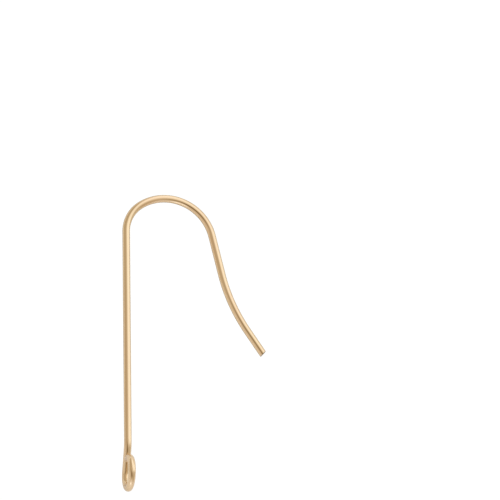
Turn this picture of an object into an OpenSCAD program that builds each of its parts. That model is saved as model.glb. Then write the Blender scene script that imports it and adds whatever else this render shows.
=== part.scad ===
// Ear wire: one length of round wire, bent into an eye, a neck, a shank, a bow and a tail.
// It lies on a flat surface as it rests by itself, on the rim of its eye and the top of its bow.
// All bend radii are to the middle of the wire, lengths are in millimetres and turns in degrees.

/* [Wire] */
// Diameter of the round wire
wire_d = 0.7; // [0.5:0.05:1]
// Bevel filed round both cut ends
end_bevel = 0.05; // [0.01:0.01:0.1]

/* [Shank] */
// Straight length from the neck of the eye up to the bow
shank_len = 19.9; // [10:0.05:40]

/* [Bow] */
// Radius of the bend at the front of the bow
front_r = 3.15; // [2:0.05:5]
// Turn of the bend at the front of the bow
front_turn = 55; // [30:0.5:80]
// Radius of the bow over its crown and down its back
crown_r = 4.4; // [3:0.05:8]
// Turn of the bow over its crown and down its back
crown_turn = 111.5; // [90:0.5:125]

/* [Tail] */
// Straight run below the bow
slope_len = 3.75; // [1:0.05:8]
// Radius of the outward sweep of the tail
sweep_r = 16; // [8:0.5:40]
// Turn of the outward sweep of the tail
sweep_turn = 21; // [5:0.5:35]
// Straight run up to the tip
tip_len = 2.6; // [0.5:0.05:6]
// Slant of the cut across the tip, away from square
tip_slant = 13; // [0:1:20]

/* [Eye] */
// Outer diameter of the eye, which stands square to the bow
eye_d = 3.45; // [3:0.05:6]
// Radius of the bend at the neck
neck_r = 2.8; // [1:0.05:4]
// Turn of the neck, backwards from the line of the shank
neck_turn = 20.5; // [10:0.5:40]
// Straight run from the neck's bend to the eye
neck_len = 1.95; // [0.3:0.05:3]
// Sideways drift of the eye in a full turn
eye_drift = 0.06; // [0:0.02:0.4]
// Gap left between the end of the eye and the neck
eye_gap = 0.06; // [0.04:0.01:0.3]

/* [Hidden] */

gold_tone = [0.85, 0.70, 0.47];
wire_r = wire_d / 2;
eye_r = (eye_d - wire_d) / 2;

// Fineness of the swept surface: sides of the wire, and the longest steps along it
SIDES = 20;
STEP_TURN = 8;
STEP_LEN = 1.3;

// Columns of a bend table: a straight run, the roll of the bending side round the wire,
// then the radius and the turn of the bend, and its sideways drift
RUN = 0;
ROLL = 1;
RADIUS = 2;
TURN = 3;
DRIFT = 4;

// The wire from the neck up, over the bow and down to the tip of the tail
hook_bends = [
    [shank_len, 0, front_r, front_turn, 0],
    [0, 0, crown_r, crown_turn, 0],
    [slope_len, 180, sweep_r, sweep_turn, 0],
    [tip_len, 0, 0, 0, 0],
];

// The wire from the neck down: back from the shank and straight on, then forward round the eye
neck_bends = [
    [0, 0, neck_r, neck_turn, 0],
    [neck_len, 0, 0, 0, 0],
];
function eye_bend(turn) = [0, 180, eye_r, turn, eye_drift * turn / 360];

// A station on the middle line: its place, the way ahead and the side that bends turn to
AT = 0;
AHEAD = 1;
SIDE = 2;
hook_start = [[0, 0, 0], [0, 1, 0], [1, 0, 0]];
eye_start = [[0, 0, 0], [0, -1, 0], [0, 0, -1]];

function unit(v) = v / norm(v);
function last(list) = list[len(list) - 1];
function total(list) = [for (v = list) 1] * list;

function moved(s, run) = [s[AT] + run * s[AHEAD], s[AHEAD], s[SIDE]];
function rolled(s, roll) = [
    s[AT],
    s[AHEAD],
    cos(roll) * s[SIDE] + sin(roll) * cross(s[AHEAD], s[SIDE]),
];
function bent(s, radius, turn, drift) = [
    s[AT] + radius * (1 - cos(turn)) * s[SIDE] + radius * sin(turn) * s[AHEAD]
        + drift * cross(s[AHEAD], s[SIDE]),
    cos(turn) * s[AHEAD] + sin(turn) * s[SIDE],
    cos(turn) * s[SIDE] - sin(turn) * s[AHEAD],
];

// Stations along one row of a bend table, and along all of its rows
function row_stations(s, row) =
    let(
        runs = ceil(row[RUN] / STEP_LEN),
        arc = row[RADIUS] * row[TURN] * PI / 180,
        bends = ceil(max(row[TURN] / STEP_TURN, arc / STEP_LEN)),
        start = rolled(s, row[ROLL]),
        corner = moved(start, row[RUN])
    )
    concat(
        [for (k = [1:1:runs]) moved(start, row[RUN] * k / runs)],
        [for (k = [1:1:bends])
            bent(corner, row[RADIUS], row[TURN] * k / bends, row[DRIFT] * k / bends)]
    );
function walk(s, table, i = 0) =
    i == len(table)
        ? []
        : let(part = row_stations(s, table[i])) concat(part, walk(last(part), table, i + 1));

// The eye closes, from half a turn on, until the rim of its end is the gap away from the neck
// or from the lowest stretch of the shank
HALF_TURN = 180;
neck_stations = walk(eye_start, neck_bends);
neck_line = concat([[0, eye_d, 0], [0, 0, 0]], [for (s = neck_stations) s[AT]]);
// How far a place is from a straight piece between two places
function off_piece(place, from, to) =
    let(way = to - from, share = max(0, min(1, (place - from) * way / (way * way))))
    norm(place - from - share * way);
function eye_end(turn) =
    let(row = eye_bend(turn))
    bent(rolled(last(neck_stations), row[ROLL]), row[RADIUS], turn, row[DRIFT]);
function rim_gap(turn) =
    let(s = eye_end(turn), rim = circle_round(s[AT], s[AHEAD], s[SIDE], wire_r))
    min([for (p = rim, i = [1:len(neck_line) - 1]) off_piece(p, neck_line[i - 1], neck_line[i])])
        - wire_r;
function closing_turn(turn) =
    turn >= 360 || rim_gap(turn + 1) < eye_gap ? turn : closing_turn(turn + 1);
eye_turn = closing_turn(HALF_TURN);

// The whole middle line, from the end of the eye to the tip of the tail
eye_stations = walk(eye_start, concat(neck_bends, [eye_bend(eye_turn)]));
hook_stations = walk(hook_start, hook_bends);
function turned_back(s) = [s[AT], -s[AHEAD], s[SIDE]];
middle_line = concat(
    [for (i = [len(eye_stations) - 1:-1:0]) turned_back(eye_stations[i])],
    [hook_start],
    hook_stations
);

// How it rests: the surface touches the back of the eye and one place on the bow.
// Of all such ways to lean, over this range of directions, it takes the one with its weight lowest.
LEAN_FROM = 30;
LEAN_TO = 150;
spots = [for (s = middle_line) s[AT]];
steps = [for (i = [1:len(spots) - 1]) norm(spots[i] - spots[i - 1])];
weight_at = total([for (i = [1:len(spots) - 1]) steps[i - 1] * (spots[i] + spots[i - 1]) / 2])
    / total(steps);
function toward(angle) = [cos(angle), sin(angle), 0];
function reach(angle) = max([for (p = spots) p * toward(angle)]);
function lean(angle) =
    let(far = reach(angle)) max([for (p = spots) if (p.z < 0) -p.z / (far - p * toward(angle))]);
function weight_height(angle) = lean(angle) * (reach(angle) - weight_at * toward(angle));
heights = [for (angle = [LEAN_FROM:LEAN_TO]) weight_height(angle)];
rest_angle = LEAN_FROM + search(min(heights), heights)[0];
rest_lean = atan(lean(rest_angle));

// Turns a direction or a place from the flat bow to the way it rests
function laid(v) =
    let(axis = toward(rest_angle + 90))
    v * cos(rest_lean) + cross(axis, v) * sin(rest_lean) + axis * (axis * v) * (1 - cos(rest_lean));

// Rings of the swept surface. Each keeps the direction of its first corner from ring to ring.
function circle_round(at, ahead, side, radius) =
    let(other = cross(ahead, side))
    [for (k = [0:SIDES - 1])
        at + radius * (cos(360 * k / SIDES) * side + sin(360 * k / SIDES) * other)];
function squared(side, ahead) = unit(side - ahead * (side * ahead));
// Slants a ring at the tip, so that its inner side is the longer one
function slanted(ring, s) =
    let(inner = laid(cross(s[AHEAD], [0, 0, 1])), ahead = laid(s[AHEAD]), at = laid(s[AT]))
    [for (p = ring) p + ahead * ((p - at) * inner) * tan(tip_slant)];

ring_count = len(middle_line);
sides = [for (
    i = 0, side = middle_line[0][SIDE];
    i < ring_count;
    i = i + 1, side = i < ring_count ? squared(side, middle_line[i][AHEAD]) : side
) side];
function ring(i, inset, radius) =
    let(s = middle_line[i], at = s[AT] + inset * s[AHEAD])
    circle_round(laid(at), laid(s[AHEAD]), laid(sides[i]), radius);
tip = ring_count - 1;
rings = concat(
    [ring(0, 0, wire_r - end_bevel), ring(0, end_bevel, wire_r)],
    [for (i = [1:tip - 1]) ring(i, 0, wire_r)],
    [
        slanted(ring(tip, -end_bevel, wire_r), middle_line[tip]),
        slanted(ring(tip, 0, wire_r - end_bevel), middle_line[tip]),
    ]
);

// Set down with its lowest point on the surface, and the middle of its length and width at zero
corners = [for (r = rings) each r];
low = [for (d = [0:2]) min([for (p = corners) p[d]])];
high = [for (d = [0:2]) max([for (p = corners) p[d]])];
set_down = [(low.x + high.x) / 2, (low.y + high.y) / 2, low.z];

function corner(i, k) = i * SIDES + k % SIDES;
walls = [for (i = [0:len(rings) - 2], k = [0:SIDES - 1])
    each [
        [corner(i, k), corner(i + 1, k + 1), corner(i, k + 1)],
        [corner(i, k), corner(i + 1, k), corner(i + 1, k + 1)],
    ]];
ends = [
    [for (k = [0:SIDES - 1]) corner(0, k)],
    [for (k = [SIDES - 1:-1:0]) corner(len(rings) - 1, k)],
];

module ear_wire() {
    laid_down = [for (p = corners) p - set_down];
    color(gold_tone) polyhedron(points = laid_down, faces = concat(walls, ends), convexity = 6);
}

ear_wire();
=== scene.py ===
"""The looks of an ear wire: one length of gold-filled wire, bent, cut and polished, on a pale table.

The wire is swept finely along the same bends as the solid that it stands for. It lies as it rests by
itself, and its solid in model.glb gives the box that it has to fill.
"""

import math
from collections import namedtuple

import bpy
import numpy as np
from bpy.props import FloatProperty, FloatVectorProperty, PointerProperty
from bpy.types import Operator, Panel, PropertyGroup
from mathutils import Matrix, Vector


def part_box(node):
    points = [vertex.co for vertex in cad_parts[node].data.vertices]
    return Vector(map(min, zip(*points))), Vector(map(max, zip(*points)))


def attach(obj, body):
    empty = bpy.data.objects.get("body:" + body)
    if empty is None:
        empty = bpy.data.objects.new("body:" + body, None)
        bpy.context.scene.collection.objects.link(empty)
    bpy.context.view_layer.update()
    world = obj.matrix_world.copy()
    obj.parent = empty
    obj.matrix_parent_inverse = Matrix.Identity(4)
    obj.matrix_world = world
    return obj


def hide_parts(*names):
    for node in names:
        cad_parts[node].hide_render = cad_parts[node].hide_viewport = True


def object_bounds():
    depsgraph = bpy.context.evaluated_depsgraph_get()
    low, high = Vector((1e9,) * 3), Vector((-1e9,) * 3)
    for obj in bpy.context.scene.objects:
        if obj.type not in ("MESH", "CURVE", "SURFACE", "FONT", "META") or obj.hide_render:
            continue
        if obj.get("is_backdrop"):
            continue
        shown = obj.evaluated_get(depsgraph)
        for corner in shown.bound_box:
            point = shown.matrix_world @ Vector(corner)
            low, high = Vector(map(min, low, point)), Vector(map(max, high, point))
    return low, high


bl_info = {
    "name": "Ear wire",
    "version": (1, 0, 0),
    "blender": (4, 5, 0),
    "location": "3D View > Sidebar > Ear wire",
    "description": "Bends and finishes a gold-filled ear wire, and sets it on a pale table",
    "category": "Object",
}

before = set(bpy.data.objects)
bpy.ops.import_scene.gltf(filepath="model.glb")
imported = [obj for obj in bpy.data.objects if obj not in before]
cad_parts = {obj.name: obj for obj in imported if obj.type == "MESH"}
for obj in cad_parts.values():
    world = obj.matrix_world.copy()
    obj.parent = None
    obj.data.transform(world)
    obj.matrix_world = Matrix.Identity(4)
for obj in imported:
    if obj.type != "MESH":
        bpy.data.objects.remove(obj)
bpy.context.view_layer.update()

NODE = "ear_wire"
BODY = "root"

MM = 0.001

# How far the finished wire may differ from its solid's box
BOX_PLAY = 0.05 * MM

# Fineness of the swept wire: its sides, the step along it, the steps round the rim of a cut end,
# and the rings inside that rim as shares of its radius
SIDES = 64
STEP = 0.08 * MM
ROUND_STEPS = 5
FACE_RINGS = (0.8, 0.5, 0.2)

# The cut at the eye is hollow too, to this share of the hollow at the tip
EYE_DISH = 1 / 3

# The eye closes from half a turn on, in steps of a degree
HALF_TURN = 180
FULL_TURN = 360

# Directions in which the resting wire may lean, in whole degrees from +X, as in the solid
LEAN_FROM = 30
LEAN_TO = 150

# The vertex attribute that tells the finishes where on the wire they are, in millimetres:
# two places across the wire, then the length along it
PLACE = "wire_place"

# Where the pliers' marks end and where they are at their full depth, in millimetres along the wire
# from the eye's cut end
GRIP_FADE = (11.5, 8.5)

# Noise that marks the metal: its features to the millimetre, two ways across the wire and along it
Grain = namedtuple("Grain", "across other_across along detail")
DRAW_LINES = Grain(26.0, 26.0, 0.35, 4.0)
BENDING_SWELL = Grain(1.1, 1.1, 0.55, 1.0)
PLIER_MARKS = Grain(1.3, 1.3, 1.5, 2.0)
ROSY_DRIFT = Grain(0.8, 0.8, 0.25, 2.0)
CUTTER_RIDGES = Grain(4.0, 40.0, 0.0, 3.0)

# The parts of that noise over which the draw lines and the rosy tone come in
DRAW_LINE_SPAN = (0.45, 0.7)
ROSY_SPAN = (0.35, 0.7)

# Share of the brass's brightness that is left between the cutter's ridges: painted shade in their
# hollows
PAINTED_RIDGE_SHADE = 0.8

# Heights of the table's two sheets: the one that the camera sees and the one that the wire mirrors
SEEN_SHEET_Z = -0.002 * MM
LIT_SHEET_Z = -0.004 * MM

# Rays that each point of the table sends out to find how near the wire is, for the painted shade on the
# table's painted glow
NEARNESS_SAMPLES = 8

# Width of the camera's sensor in millimetres, and how near and far it sees as shares of its distance
SENSOR = 36
SEES_FROM = 0.01
SEES_TO = 10


def length(label, text, default, low, high):
    """A property for a length, given in millimetres."""
    return FloatProperty(
        name=label,
        description=text,
        default=default * MM,
        min=low * MM,
        max=high * MM,
        precision=5,
        subtype="DISTANCE",
        unit="LENGTH",
    )


def turn(label, text, default, low, high):
    """A property for an angle, given in degrees."""
    return FloatProperty(
        name=label,
        description=text,
        default=math.radians(default),
        min=math.radians(low),
        max=math.radians(high),
        subtype="ANGLE",
        unit="ROTATION",
    )


def tone(label, text, default):
    """A property for a linear colour, which may be brighter than white."""
    return FloatVectorProperty(
        name=label, description=text, default=default, size=3, min=0, max=4, subtype="COLOR"
    )


def share(label, text, default):
    """A property for a plain number from 0 to 1."""
    return FloatProperty(name=label, description=text, default=default, min=0, max=1)


class WireSizes(PropertyGroup):
    """The sizes that the wire is cut and bent to."""

    wire_d: length("Wire diameter", "Diameter of the round wire", 0.7, 0.5, 1)
    cut_round: length("Cut rounding", "Rounding of the rims of both cut ends", 0.08, 0.01, 0.1)
    cut_dish: length("Cut dish", "Depth to which the cut across the tip is hollow", 0.035, 0, 0.1)

    shank_len: length("Shank", "Straight length from the neck up to the bow", 19.9, 10, 40)
    front_r: length("Front radius", "Radius of the bend at the front of the bow", 3.15, 2, 5)
    front_turn: turn("Front turn", "Turn of the bend at the front of the bow", 55, 30, 80)
    crown_r: length("Crown radius", "Radius of the bow over its crown and down its back", 4.4, 3, 8)
    crown_turn: turn("Crown turn", "Turn of the bow over its crown and down its back", 111.5, 90, 125)

    slope_len: length("Slope", "Straight run below the bow", 3.75, 1, 8)
    sweep_r: length("Sweep radius", "Radius of the outward sweep of the tail", 16, 8, 40)
    sweep_turn: turn("Sweep turn", "Turn of the outward sweep of the tail", 21, 5, 35)
    tip_len: length("Tip", "Straight run up to the tip", 2.6, 0.5, 6)
    tip_slant: turn("Tip slant", "Slant of the cut across the tip, away from square", 13, 0, 20)

    eye_d: length("Eye diameter", "Outer diameter of the eye", 3.45, 3, 6)
    neck_r: length("Neck radius", "Radius of the bend at the neck", 2.8, 1, 4)
    neck_turn: turn("Neck turn", "Turn of the neck, backwards from the line of the shank", 20.5, 10, 40)
    neck_len: length("Neck", "Straight run from the neck's bend to the eye", 1.95, 0.3, 3)
    eye_drift: length("Eye drift", "Sideways drift of the eye in a full turn", 0.06, 0, 0.4)
    eye_gap: length("Eye gap", "Gap between the end of the eye and the neck", 0.06, 0.04, 0.3)


class FinishLooks(PropertyGroup):
    """The polished gold skin of the wire, and the brass that shows where it is cut."""

    gold: tone("Gold", "Colour of the polished gold skin", (0.93, 0.72, 0.44))
    rose_gold: tone("Rosy gold", "Colour of the gold where it is a little redder", (0.92, 0.68, 0.42))
    rim_gold: tone("Rim gold", "Tint of the polished skin at a flat angle", (0.60, 0.64, 0.60))
    rim_dull: tone("Dull rim", "Tint of the plier-marked skin at a flat angle", (1, 1, 1))
    polish: share("Polish roughness", "Roughness of the polished skin", 0.04)
    draw_roughness: share("Draw line roughness", "Roughness that the draw lines add", 0.06)
    draw_depth: length("Draw line depth", "Depth of the fine lines along the wire", 0.0003, 0, 0.01)
    swell_depth: length("Swell depth", "Depth of the slow unevenness left by bending", 0.004, 0, 0.05)
    plier_roughness: share("Plier roughness", "Roughness that the pliers add on the eye", 0.08)
    plier_depth: length("Plier depth", "Depth of the marks of the pliers on the eye", 0.006, 0, 0.05)

    brass: tone("Brass", "Colour of the dull brass core on the cut ends", (0.56, 0.47, 0.34))
    cut_roughness: share("Cut roughness", "Roughness of the cut ends", 0.32)
    ridge_depth: length("Ridge depth", "Depth of the cutter's ridges on the cut ends", 0.01, 0, 0.05)


class StudioLooks(PropertyGroup):
    """The table, the light and the camera."""

    table_width: length("Table width", "Width of the pale table", 1600, 200, 5000)
    table_white: tone("Table white", "Colour of the table as it is seen", (1.05, 1.05, 1.05))
    table_paint: tone("Table paint", "Colour of the matt top that the wire mirrors", (0.90, 0.92, 0.96))
    table_sheen: share("Table sheen", "Roughness of the faint sheen on the table's top", 0.35)
    # Painted light: the mirrored table top glows, and that glow is dimmed near the wire as painted
    # shade
    table_painted_glow: tone("Table glow", "Glow of the table's top beyond its own light", (0.17, 0.18, 0.20))
    painted_shade_reach: length("Contact reach", "How far round the wire that glow is dimmed", 4, 0.1, 50)
    surround: tone("Surround", "Colour of the room's plain walls", (0.61, 0.55, 0.49))

    camera_tilt: turn("Camera tilt", "Angle of the camera from straight above", 19.8, 0, 80)
    camera_azimuth: turn("Camera azimuth", "Side on which the camera stands, from +X", 230.74, 0, 360)
    camera_roll: turn("Camera roll", "Turn of the camera about its line of sight", -1.376, -180, 180)
    camera_distance: length("Camera distance", "Distance from the camera to its aim", 600, 100, 2000)
    aim_x: length("Aim across", "Place that the camera looks at, along X", 5.486, -50, 50)
    aim_y: length("Aim along", "Place that the camera looks at, along Y", 9.574, -50, 50)
    view_width: length("View width", "Width that the picture shows at the aim", 46.35, 10, 500)


Station = namedtuple("Station", "at ahead side")
Bend = namedtuple("Bend", "run roll radius turn drift", defaults=(0.0,))


def moved(station, run):
    """The station a straight run further on."""
    return station._replace(at=station.at + run * station.ahead)


def rolled(station, roll):
    """The station with its bending side turned round the wire."""
    other = np.cross(station.ahead, station.side)
    return station._replace(side=math.cos(roll) * station.side + math.sin(roll) * other)


def bent(station, radius, angle, drift):
    """The station at the far end of a bend towards its side."""
    at, ahead, side = station
    cos, sin = math.cos(angle), math.sin(angle)
    reached = at + radius * (1 - cos) * side + radius * sin * ahead + drift * np.cross(ahead, side)
    return Station(reached, cos * ahead + sin * side, cos * side - sin * ahead)


def followed(station, bends):
    """Stations along a row of bends, close enough together for a smooth wire."""
    stations = []
    for bend in bends:
        start = rolled(station, bend.roll)
        runs = math.ceil(bend.run / STEP)
        stations += [moved(start, bend.run * k / runs) for k in range(1, runs + 1)]
        corner = moved(start, bend.run)
        steps = math.ceil(bend.radius * bend.turn / STEP)
        stations += [
            bent(corner, bend.radius, bend.turn * k / steps, bend.drift * k / steps)
            for k in range(1, steps + 1)
        ]
        station = stations[-1]
    return stations


def ring_round(station, radius):
    """Corners of a ring round the wire."""
    angles = np.linspace(0, 2 * math.pi, SIDES, endpoint=False)[:, None]
    other = np.cross(station.ahead, station.side)
    return station.at + radius * (np.cos(angles) * station.side + np.sin(angles) * other)


def eye_row(sizes, angle):
    """The bend that makes the eye, as far round as the given angle."""
    eye_r = (sizes.eye_d - sizes.wire_d) / 2
    return Bend(0, math.pi, eye_r, angle, sizes.eye_drift * angle / (2 * math.pi))


def closing_turn(sizes, neck, neck_line):
    """How far the eye turns until the rim of its end comes close to the neck."""
    wire_r = sizes.wire_d / 2
    for degrees in range(HALF_TURN, FULL_TURN):
        row = eye_row(sizes, math.radians(degrees + 1))
        end = bent(rolled(neck, row.roll), row.radius, row.turn, row.drift)
        apart = np.linalg.norm(ring_round(end, wire_r)[:, None] - neck_line[None], axis=2)
        if apart.min() - wire_r < sizes.eye_gap:
            return math.radians(degrees)
    return math.radians(FULL_TURN)


def bent_wire(sizes):
    """Stations from the end of the eye to the tip.

    The foot of the neck is at zero and the shank runs along +Y.
    """
    x, y, z = np.eye(3)
    origin = np.zeros(3)
    neck = [Bend(0, 0, sizes.neck_r, sizes.neck_turn), Bend(sizes.neck_len, 0, 0, 0)]
    neck_stations = followed(Station(origin, -y, -z), neck)
    lowest_shank = [origin + y * run for run in np.arange(0, sizes.eye_d, STEP)]
    neck_line = np.array(lowest_shank + [s.at for s in neck_stations])
    eye = eye_row(sizes, closing_turn(sizes, neck_stations[-1], neck_line))
    eye_stations = followed(neck_stations[-1], [eye])
    hook_start = Station(origin, y, x)
    hook_stations = followed(
        hook_start,
        [
            Bend(sizes.shank_len, 0, sizes.front_r, sizes.front_turn),
            Bend(0, 0, sizes.crown_r, sizes.crown_turn),
            Bend(sizes.slope_len, math.pi, sizes.sweep_r, sizes.sweep_turn),
            Bend(sizes.tip_len, 0, 0, 0),
        ],
    )
    down = [s._replace(ahead=-s.ahead) for s in reversed(neck_stations + eye_stations)]
    return down + [hook_start] + hook_stations


def turned(vectors, axis, angle):
    """Vectors turned about a unit axis through zero."""
    cos, sin = math.cos(angle), math.sin(angle)
    along = np.outer(vectors @ axis, axis) if vectors.ndim == 2 else axis * (vectors @ axis)
    return vectors * cos + np.cross(axis, vectors) * sin + along * (1 - cos)


def toward(angle):
    """Unit vector in the plane of the bow."""
    return np.array([math.cos(angle), math.sin(angle), 0.0])


def laid_down(stations):
    """The wire leant as it rests: on the back of its eye and one place on its bow.

    Of all such ways to lean, it takes the one with its weight lowest.
    """
    spots = np.array([s.at for s in stations])
    steps = np.linalg.norm(np.diff(spots, axis=0), axis=1)
    weight_at = steps @ ((spots[1:] + spots[:-1]) / 2) / steps.sum()
    leans = np.radians(np.arange(LEAN_FROM, LEAN_TO + 1))
    ways = np.array([toward(angle) for angle in leans])
    along = spots @ ways.T
    reach = along.max(axis=0)
    below = spots[:, 2] < 0
    slopes = (-spots[below, 2][:, None] / (reach - along[below])).max(axis=0)
    heights = slopes * (reach - weight_at @ ways.T)
    lowest = int(heights.argmin())
    axis = toward(leans[lowest] + math.pi / 2)
    lean = math.atan(slopes[lowest])
    return [Station(*(turned(part, axis, lean) for part in station)) for station in stations]


def carried_sides(stations):
    """The same stations, with the side carried along the wire without a twist."""
    side = stations[0].side
    carried = []
    for station in stations:
        side = side - station.ahead * (side @ station.ahead)
        side = side / np.linalg.norm(side)
        carried.append(station._replace(side=side))
    return carried


Ring = namedtuple("Ring", "corners along cut")


def cut_end(station, sizes, inward, slant, dish, along):
    """Rings from the middle of a cut face out to its rounded rim.

    inward is 1 where the wire runs ahead from the cut and -1 where it ends there. The inner side of
    the bow is the longer one where the cut has a slant.
    """
    wire_r = sizes.wire_d / 2
    edge = sizes.cut_round
    inner = np.cross(station.ahead, np.array([0.0, 0.0, 1.0]))
    rows = [(dish * (1 - part**2), part * (wire_r - edge)) for part in reversed(FACE_RINGS)]
    for angle in np.linspace(0, math.pi / 2, ROUND_STEPS):
        rows.append((edge * (1 - math.cos(angle)), wire_r - edge * (1 - math.sin(angle))))
    rings = []
    for inset, radius in rows:
        ring = ring_round(moved(station, inset * inward), radius)
        ring = ring + np.outer((ring - station.at) @ inner * math.tan(slant), station.ahead)
        rings.append(Ring(ring, along + inset * inward, True))
    return rings


def wire_rings(sizes):
    """All rings of the wire, from the cut face of the eye to the cut face of the tip."""
    stations = carried_sides(laid_down(bent_wire(sizes)))
    spots = np.array([s.at for s in stations])
    along = np.r_[0, np.cumsum(np.linalg.norm(np.diff(spots, axis=0), axis=1))]
    wire_r = sizes.wire_d / 2
    start = cut_end(stations[0], sizes, 1, 0, sizes.cut_dish * EYE_DISH, along[0])
    end = cut_end(stations[-1], sizes, -1, sizes.tip_slant, sizes.cut_dish, along[-1])
    first = along[0] + sizes.cut_round + STEP / 2
    last = along[-1] - sizes.cut_round - wire_r * math.tan(sizes.tip_slant) - STEP / 2
    middle = [
        Ring(ring_round(station, wire_r), run, False)
        for station, run in zip(stations, along)
        if first < run < last
    ]
    return start + middle + end[::-1]


def set_in_box(places):
    """The places moved to the middle of the solid's box, with the lowest one on its floor."""
    low, high = (np.array(corner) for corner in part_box(NODE))
    shift = (low + high) / 2 - (places.min(axis=0) + places.max(axis=0)) / 2
    shift[2] = low[2] - places[:, 2].min()
    return places + shift


def wire_faces(count):
    """Faces of a wire of so many rings: quads from ring to ring, and a fan on each end."""
    here = np.arange(SIDES)
    after = (here + 1) % SIDES
    quads = [
        np.stack([i + here, i + after, i + SIDES + after, i + SIDES + here], axis=1)
        for i in range(0, (count - 1) * SIDES, SIDES)
    ]
    last = (count - 1) * SIDES
    near, far = count * SIDES, count * SIDES + 1
    fans = [(near, int(b), int(a)) for a, b in zip(here, after)]
    fans += [(far, int(last + a), int(last + b)) for a, b in zip(here, after)]
    return np.concatenate(quads).tolist() + fans


def mark_places(mesh, rings):
    """Tells each corner where on the wire it is."""
    angles = np.tile(2 * math.pi * np.arange(SIDES) / SIDES, len(rings))
    radii = [np.linalg.norm(ring.corners[0] - ring.corners.mean(axis=0)) for ring in rings]
    reaches = np.repeat(radii, SIDES)
    runs = np.repeat([ring.along for ring in rings], SIDES)
    drawn = np.stack([np.cos(angles) * reaches, np.sin(angles) * reaches, runs], axis=1)
    ends = [(0, 0, rings[0].along), (0, 0, rings[-1].along)]
    marked = np.concatenate([drawn, ends]) / MM
    attribute = mesh.attributes.new(PLACE, "FLOAT_VECTOR", "POINT")
    attribute.data.foreach_set("vector", marked.astype(np.float32).ravel())


def wire_mesh(sizes):
    """The wire's mesh, with its cut faces in the second material."""
    rings = wire_rings(sizes)
    corners = np.concatenate([ring.corners for ring in rings])
    middles = np.array([rings[0].corners.mean(axis=0), rings[-1].corners.mean(axis=0)])
    places = set_in_box(np.concatenate([corners, middles]))

    mesh = bpy.data.meshes.new(NODE)
    mesh.from_pydata(places.tolist(), [], wire_faces(len(rings)))
    mesh.polygons.foreach_set("use_smooth", np.ones(len(mesh.polygons), bool))
    walls = [here.cut and beyond.cut for here, beyond in zip(rings, rings[1:])]
    cut = np.concatenate([np.repeat(walls, SIDES), np.ones(2 * SIDES, bool)])
    mesh.polygons.foreach_set("material_index", cut.astype(np.int32))
    mark_places(mesh, rings)
    mesh.update()
    mesh.validate()
    return mesh


class NodeSheet:
    """A node tree that is written down from left to right."""

    SPACING = 220

    def __init__(self, tree):
        self.tree = tree
        self.count = 0
        tree.nodes.clear()

    def add(self, kind, settings=None, **inputs):
        """Adds a node, sets its properties and gives each input a value or a link.

        An input goes by its name, with _ for a space, or by its number after an i.
        """
        node = self.tree.nodes.new(kind)
        node.location = (self.SPACING * self.count, 0)
        self.count += 1
        for name, value in (settings or {}).items():
            setattr(node, name, value)
        for name, value in inputs.items():
            number = name.removeprefix("i")
            socket = node.inputs[int(number) if number.isdigit() else name.replace("_", " ")]
            if isinstance(value, bpy.types.NodeSocket):
                self.tree.links.new(value, socket)
            else:
                socket.default_value = value
        return node


def new_finish(name):
    """A new material, and the empty sheet of its nodes."""
    material = bpy.data.materials.new(name)
    material.use_nodes = True
    return material, NodeSheet(material.node_tree)


def rgba(colour):
    """A colour with full alpha."""
    return (*colour, 1.0)


def reckoned(sheet, operation, *values):
    """What a Math node makes of one or two values."""
    inputs = {f"i{number}": value for number, value in enumerate(values)}
    return sheet.add("ShaderNodeMath", {"operation": operation}, **inputs).outputs[0]


def ranged(sheet, value, span, low, high, easing="LINEAR"):
    """A value moved from its span to the range from low to high, and held there."""
    start, end = span
    limits = {"From_Min": start, "From_Max": end, "To_Min": low, "To_Max": high}
    node = sheet.add("ShaderNodeMapRange", {"interpolation_type": easing}, Value=value, **limits)
    return node.outputs["Result"]


def blended(sheet, factor, first, second, label=""):
    """A colour that goes from the first to the second by a factor.

    A Mix node takes its two colours at inputs 6 and 7 and gives the result at output 2.
    """
    settings = {"data_type": "RGBA", "label": label}
    node = sheet.add("ShaderNodeMix", settings, Factor=factor, i6=first, i7=second)
    return node.outputs[2]


def wire_place(sheet):
    """Where on the wire a point is, in millimetres."""
    return sheet.add("ShaderNodeAttribute", {"attribute_name": PLACE}).outputs["Vector"]


def grained(sheet, place, grain):
    """Noise at the scale of a grain."""
    scale = (grain.across, grain.other_across, grain.along)
    scaled = sheet.add("ShaderNodeVectorMath", {"operation": "MULTIPLY"}, i0=place, i1=scale)
    noise = sheet.add("ShaderNodeTexNoise", Vector=scaled.outputs[0], Scale=1.0, Detail=grain.detail)
    return noise.outputs["Fac"]


def bumped(sheet, height, depth, **under):
    """A bump of the given depth in metres, over the Normal of another one where that is given."""
    node = sheet.add("ShaderNodeBump", Height=height, Distance=depth, Strength=1.0, **under)
    return node.outputs["Normal"]


def bare_metal(sheet, colour, **looks):
    """The surface of a bare metal, as a material's whole output."""
    skin = sheet.add("ShaderNodeBsdfPrincipled", Metallic=1.0, Base_Color=colour, **looks)
    sheet.add("ShaderNodeOutputMaterial", Surface=skin.outputs[0])


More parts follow.
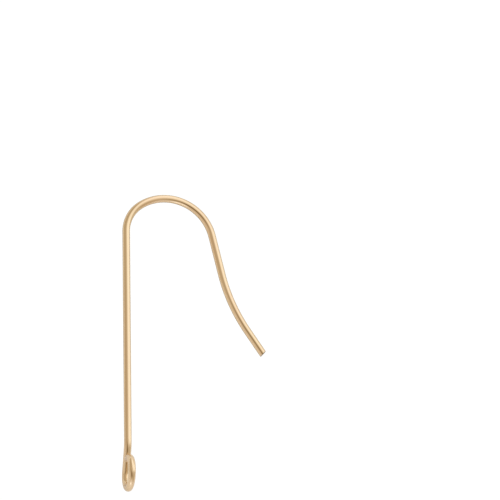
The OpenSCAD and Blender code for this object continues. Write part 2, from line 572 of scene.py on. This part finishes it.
def polished_gold(looks):
    """The polished gold skin, with a rosy drift in its colour.

    It has fine draw lines along the wire, a slow swell from bending and plier marks on the eye.
    """
    material, sheet = new_finish("polished_gold")
    place = wire_place(sheet)
    lines = grained(sheet, place, DRAW_LINES)
    swell = grained(sheet, place, BENDING_SWELL)
    rosy = ranged(sheet, grained(sheet, place, ROSY_DRIFT), ROSY_SPAN, 0, 1)
    colour = blended(sheet, rosy, rgba(looks.gold), rgba(looks.rose_gold))

    along = sheet.add("ShaderNodeSeparateXYZ", Vector=place).outputs["Z"]
    gripped = ranged(sheet, along, GRIP_FADE, 0, 1)
    marks = reckoned(sheet, "MULTIPLY", grained(sheet, place, PLIER_MARKS), gripped)
    rim = blended(sheet, gripped, rgba(looks.rim_gold), rgba(looks.rim_dull))

    drawn = ranged(sheet, lines, DRAW_LINE_SPAN, looks.polish, looks.polish + looks.draw_roughness)
    duller = ranged(sheet, gripped, (0, 1), 0, looks.plier_roughness)
    roughness = reckoned(sheet, "ADD", drawn, duller)
    normal = bumped(sheet, swell, looks.swell_depth)
    normal = bumped(sheet, marks, looks.plier_depth, Normal=normal)
    normal = bumped(sheet, lines, looks.draw_depth, Normal=normal)
    bare_metal(sheet, colour, Roughness=roughness, Normal=normal, Specular_Tint=rim)
    return material


def cut_brass(looks):
    """The cut ends: brass with the fine ridges that the cutter leaves, darkened in their hollows with
    painted shade.
    """
    material, sheet = new_finish("cut_brass")
    ridges = grained(sheet, wire_place(sheet), CUTTER_RIDGES)
    # Painted shade: the brass is darker in the low parts of the ridges
    painted_ridge_shade = [PAINTED_RIDGE_SHADE * part for part in looks.brass]
    colour = blended(sheet, ridges, rgba(painted_ridge_shade), rgba(looks.brass))
    normal = bumped(sheet, ridges, looks.ridge_depth)
    bare_metal(sheet, colour, Roughness=looks.cut_roughness, Normal=normal)
    return material


def white_sheet(looks):
    """The table as it is seen: a surface that glows evenly, like a lit sheet of paper."""
    material, sheet = new_finish("white_table")
    glow = sheet.add("ShaderNodeEmission", Color=rgba(looks.table_white), Strength=1.0)
    sheet.add("ShaderNodeOutputMaterial", Surface=glow.outputs[0])
    return material


def matt_top(looks):
    """The table's matt top, as the wire mirrors it.

    Its glow is painted light, an emission on top of the light it gets, and it is dimmed close round the
    wire as painted shade, because the wire keeps light off there.
    """
    material, sheet = new_finish("matt_table")
    colour = rgba(looks.table_paint)
    paint = sheet.add("ShaderNodeBsdfPrincipled", Base_Color=colour, Roughness=looks.table_sheen)
    # Painted light and painted shade: an even glow, dimmed where the wire is near
    painted_glow_and_shade = sheet.add(
        "ShaderNodeAmbientOcclusion",
        {"samples": NEARNESS_SAMPLES},
        Color=rgba(looks.table_painted_glow),
        Distance=looks.painted_shade_reach,
    )
    glow = sheet.add("ShaderNodeEmission", Color=painted_glow_and_shade.outputs["Color"], Strength=1.0)
    both = sheet.add("ShaderNodeAddShader", i0=paint.outputs[0], i1=glow.outputs[0])
    sheet.add("ShaderNodeOutputMaterial", Surface=both.outputs[0])
    return material


def table_sheet(name, width, height, finish):
    """A flat sheet of the table, at a height, as part of the stage."""
    half = width / 2
    mesh = bpy.data.meshes.new(name)
    outline = ((-half, -half), (half, -half), (half, half), (-half, half))
    mesh.from_pydata([(x, y, height) for x, y in outline], [], [(0, 1, 2, 3)])
    mesh.materials.append(finish)
    sheet = bpy.data.objects.new(name, mesh)
    bpy.context.scene.collection.objects.link(sheet)
    sheet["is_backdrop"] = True
    return sheet


Patch = namedtuple("Patch", "name azimuth height spread edge colour")

# Bright and dark parts of the studio, far off all round: the direction of each by its azimuth from +X
# and its height above the table, its radius and the width of its soft edge to either side of that
# (all in degrees), and its linear colour. A later one lies over those before it.
PATCHES = (
    Patch("side_wall", 215, -24, 42, 40, (0.78, 0.75, 0.77)),
    Patch("corner_card", 292, 3, 20, 14, (0.76, 0.73, 0.77)),
    Patch("grey_card", 323, 35, 17, 12, (0.53, 0.46, 0.37)),
    Patch("grey_screen", 142, 23, 38, 10, (0.52, 0.45, 0.37)),
    Patch("dark_screen", 226, 66, 20, 18, (0.25, 0.19, 0.11)),
    Patch("main_soft_box", 49, 28, 42, 10, (1.10, 1.14, 1.24)),
    Patch("upper_soft_box", 46, 55, 22, 8, (1.08, 1.10, 1.19)),
    Patch("upper_card", 22, 78, 14, 9, (0.82, 0.79, 0.75)),
    Patch("side_soft_box", 260, 5, 16, 7, (1.20, 1.27, 1.47)),
    Patch("side_card", 257, 24, 9, 7, (0.98, 0.99, 1.08)),
    Patch("low_card", 47, -10, 27, 12, (0.72, 0.66, 0.62)),
    Patch("dark_flag", 279, 55, 8, 14, (0.32, 0.24, 0.16)),
    Patch("small_flag", 248, 61, 6, 8, (0.11, 0.06, 0.02)),
)


def direction(azimuth, height):
    """Unit vector at an azimuth from +X and a height above the table, in degrees."""
    level = math.cos(math.radians(height))
    around = math.radians(azimuth)
    return Vector((level * math.cos(around), level * math.sin(around), math.sin(math.radians(height))))


def surroundings(looks):
    """The light all round the table: pale walls, soft boxes, and cards, screens and flags."""
    world = bpy.data.worlds.new("studio")
    world.use_nodes = True
    bpy.context.scene.world = world
    sheet = NodeSheet(world.node_tree)
    outward = sheet.add("ShaderNodeTexCoord").outputs["Generated"]
    outward = sheet.add("ShaderNodeVectorMath", {"operation": "NORMALIZE"}, i0=outward).outputs[0]
    colour = rgba(looks.surround)
    for patch in PATCHES:
        middle = direction(patch.azimuth, patch.height)
        facing = sheet.add("ShaderNodeVectorMath", {"operation": "DOT_PRODUCT"}, i0=outward, i1=middle)
        angle = reckoned(sheet, "ARCCOSINE", facing.outputs["Value"])
        fade = (math.radians(patch.spread + patch.edge), math.radians(patch.spread - patch.edge))
        inside = ranged(sheet, angle, fade, 0, 1, easing="SMOOTHSTEP")
        colour = blended(sheet, inside, colour, rgba(patch.colour), patch.name)
    light = sheet.add("ShaderNodeBackground", Color=colour, Strength=1.0)
    sheet.add("ShaderNodeOutputWorld", Surface=light.outputs[0])


def camera_axes(looks):
    """Columns of the camera's turn: its right, its up and the way back from the aim to the camera."""
    about = Vector((-math.sin(looks.camera_azimuth), math.cos(looks.camera_azimuth), 0))
    leaning = Matrix.Rotation(looks.camera_tilt, 3, about)
    rolling = Matrix.Rotation(-looks.camera_roll, 3, "Z")
    return leaning @ rolling


def viewing_camera(looks):
    """The camera at the photograph's angle to the resting wire."""
    data = bpy.data.cameras.new("camera")
    data.sensor_width = SENSOR
    data.lens = SENSOR * looks.camera_distance / looks.view_width
    data.clip_start = SEES_FROM * looks.camera_distance
    data.clip_end = SEES_TO * looks.camera_distance
    camera = bpy.data.objects.new("camera", data)
    bpy.context.scene.collection.objects.link(camera)
    axes = camera_axes(looks)
    aim = Vector((looks.aim_x, looks.aim_y, 0))
    camera.matrix_world = Matrix.Translation(aim + axes.col[2] * looks.camera_distance) @ axes.to_4x4()
    bpy.context.scene.camera = camera


class EARWIRE_OT_bend_wire(Operator):
    """Bends the wire to its sizes, lays it down as it rests and gives it its finishes"""

    bl_idname = "earwire.bend_wire"
    bl_label = "Bend the ear wire"

    def execute(self, context):
        mesh = wire_mesh(context.scene.ear_wire_sizes)
        mesh.materials.append(polished_gold(context.scene.ear_wire_finish))
        mesh.materials.append(cut_brass(context.scene.ear_wire_finish))
        wire = bpy.data.objects.new("ear_wire_finished", mesh)
        context.scene.collection.objects.link(wire)
        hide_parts(NODE)
        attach(wire, BODY)
        for built, asked in zip(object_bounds(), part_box(NODE)):
            if max(abs(part) for part in built - asked) > BOX_PLAY:
                raise RuntimeError(f"the wire reaches {tuple(built)}, its solid {tuple(asked)}")
        return {"FINISHED"}


class EARWIRE_OT_set_stage(Operator):
    """Sets the pale table, the studio's light and the camera"""

    bl_idname = "earwire.set_stage"
    bl_label = "Set the stage"

    def execute(self, context):
        looks = context.scene.ear_wire_studio
        seen = table_sheet("table_seen", looks.table_width, SEEN_SHEET_Z, white_sheet(looks))
        seen.visible_glossy = False
        seen.visible_diffuse = False
        seen.visible_shadow = False
        lit = table_sheet("table_lit", looks.table_width, LIT_SHEET_Z, matt_top(looks))
        lit.visible_camera = False
        surroundings(looks)
        viewing_camera(looks)
        context.scene.view_settings.view_transform = "Standard"
        return {"FINISHED"}


class EARWIRE_PT_bench(Panel):
    """Lists the steps that make the ear wire and its stage"""

    bl_idname = "EARWIRE_PT_bench"
    bl_label = "Ear wire"
    bl_space_type = "VIEW_3D"
    bl_region_type = "UI"
    bl_category = "Ear wire"

    def draw(self, context):
        for settings in ("ear_wire_sizes", "ear_wire_finish", "ear_wire_studio"):
            group = getattr(context.scene, settings)
            for name in group.__annotations__:
                self.layout.prop(group, name)
        self.layout.operator(EARWIRE_OT_bend_wire.bl_idname)
        self.layout.operator(EARWIRE_OT_set_stage.bl_idname)


CLASSES = (
    WireSizes,
    FinishLooks,
    StudioLooks,
    EARWIRE_OT_bend_wire,
    EARWIRE_OT_set_stage,
    EARWIRE_PT_bench,
)


def register():
    """Makes the settings, the operators and the panel known."""
    for cls in CLASSES:
        bpy.utils.register_class(cls)
    bpy.types.Scene.ear_wire_sizes = PointerProperty(type=WireSizes)
    bpy.types.Scene.ear_wire_finish = PointerProperty(type=FinishLooks)
    bpy.types.Scene.ear_wire_studio = PointerProperty(type=StudioLooks)


def unregister():
    """Takes away what register added."""
    del bpy.types.Scene.ear_wire_studio
    del bpy.types.Scene.ear_wire_finish
    del bpy.types.Scene.ear_wire_sizes
    for cls in reversed(CLASSES):
        bpy.utils.unregister_class(cls)


def main():
    """Makes the ear wire and its stage."""
    register()
    bpy.ops.earwire.bend_wire()
    bpy.ops.earwire.set_stage()


if __name__ == "__main__":
    main()
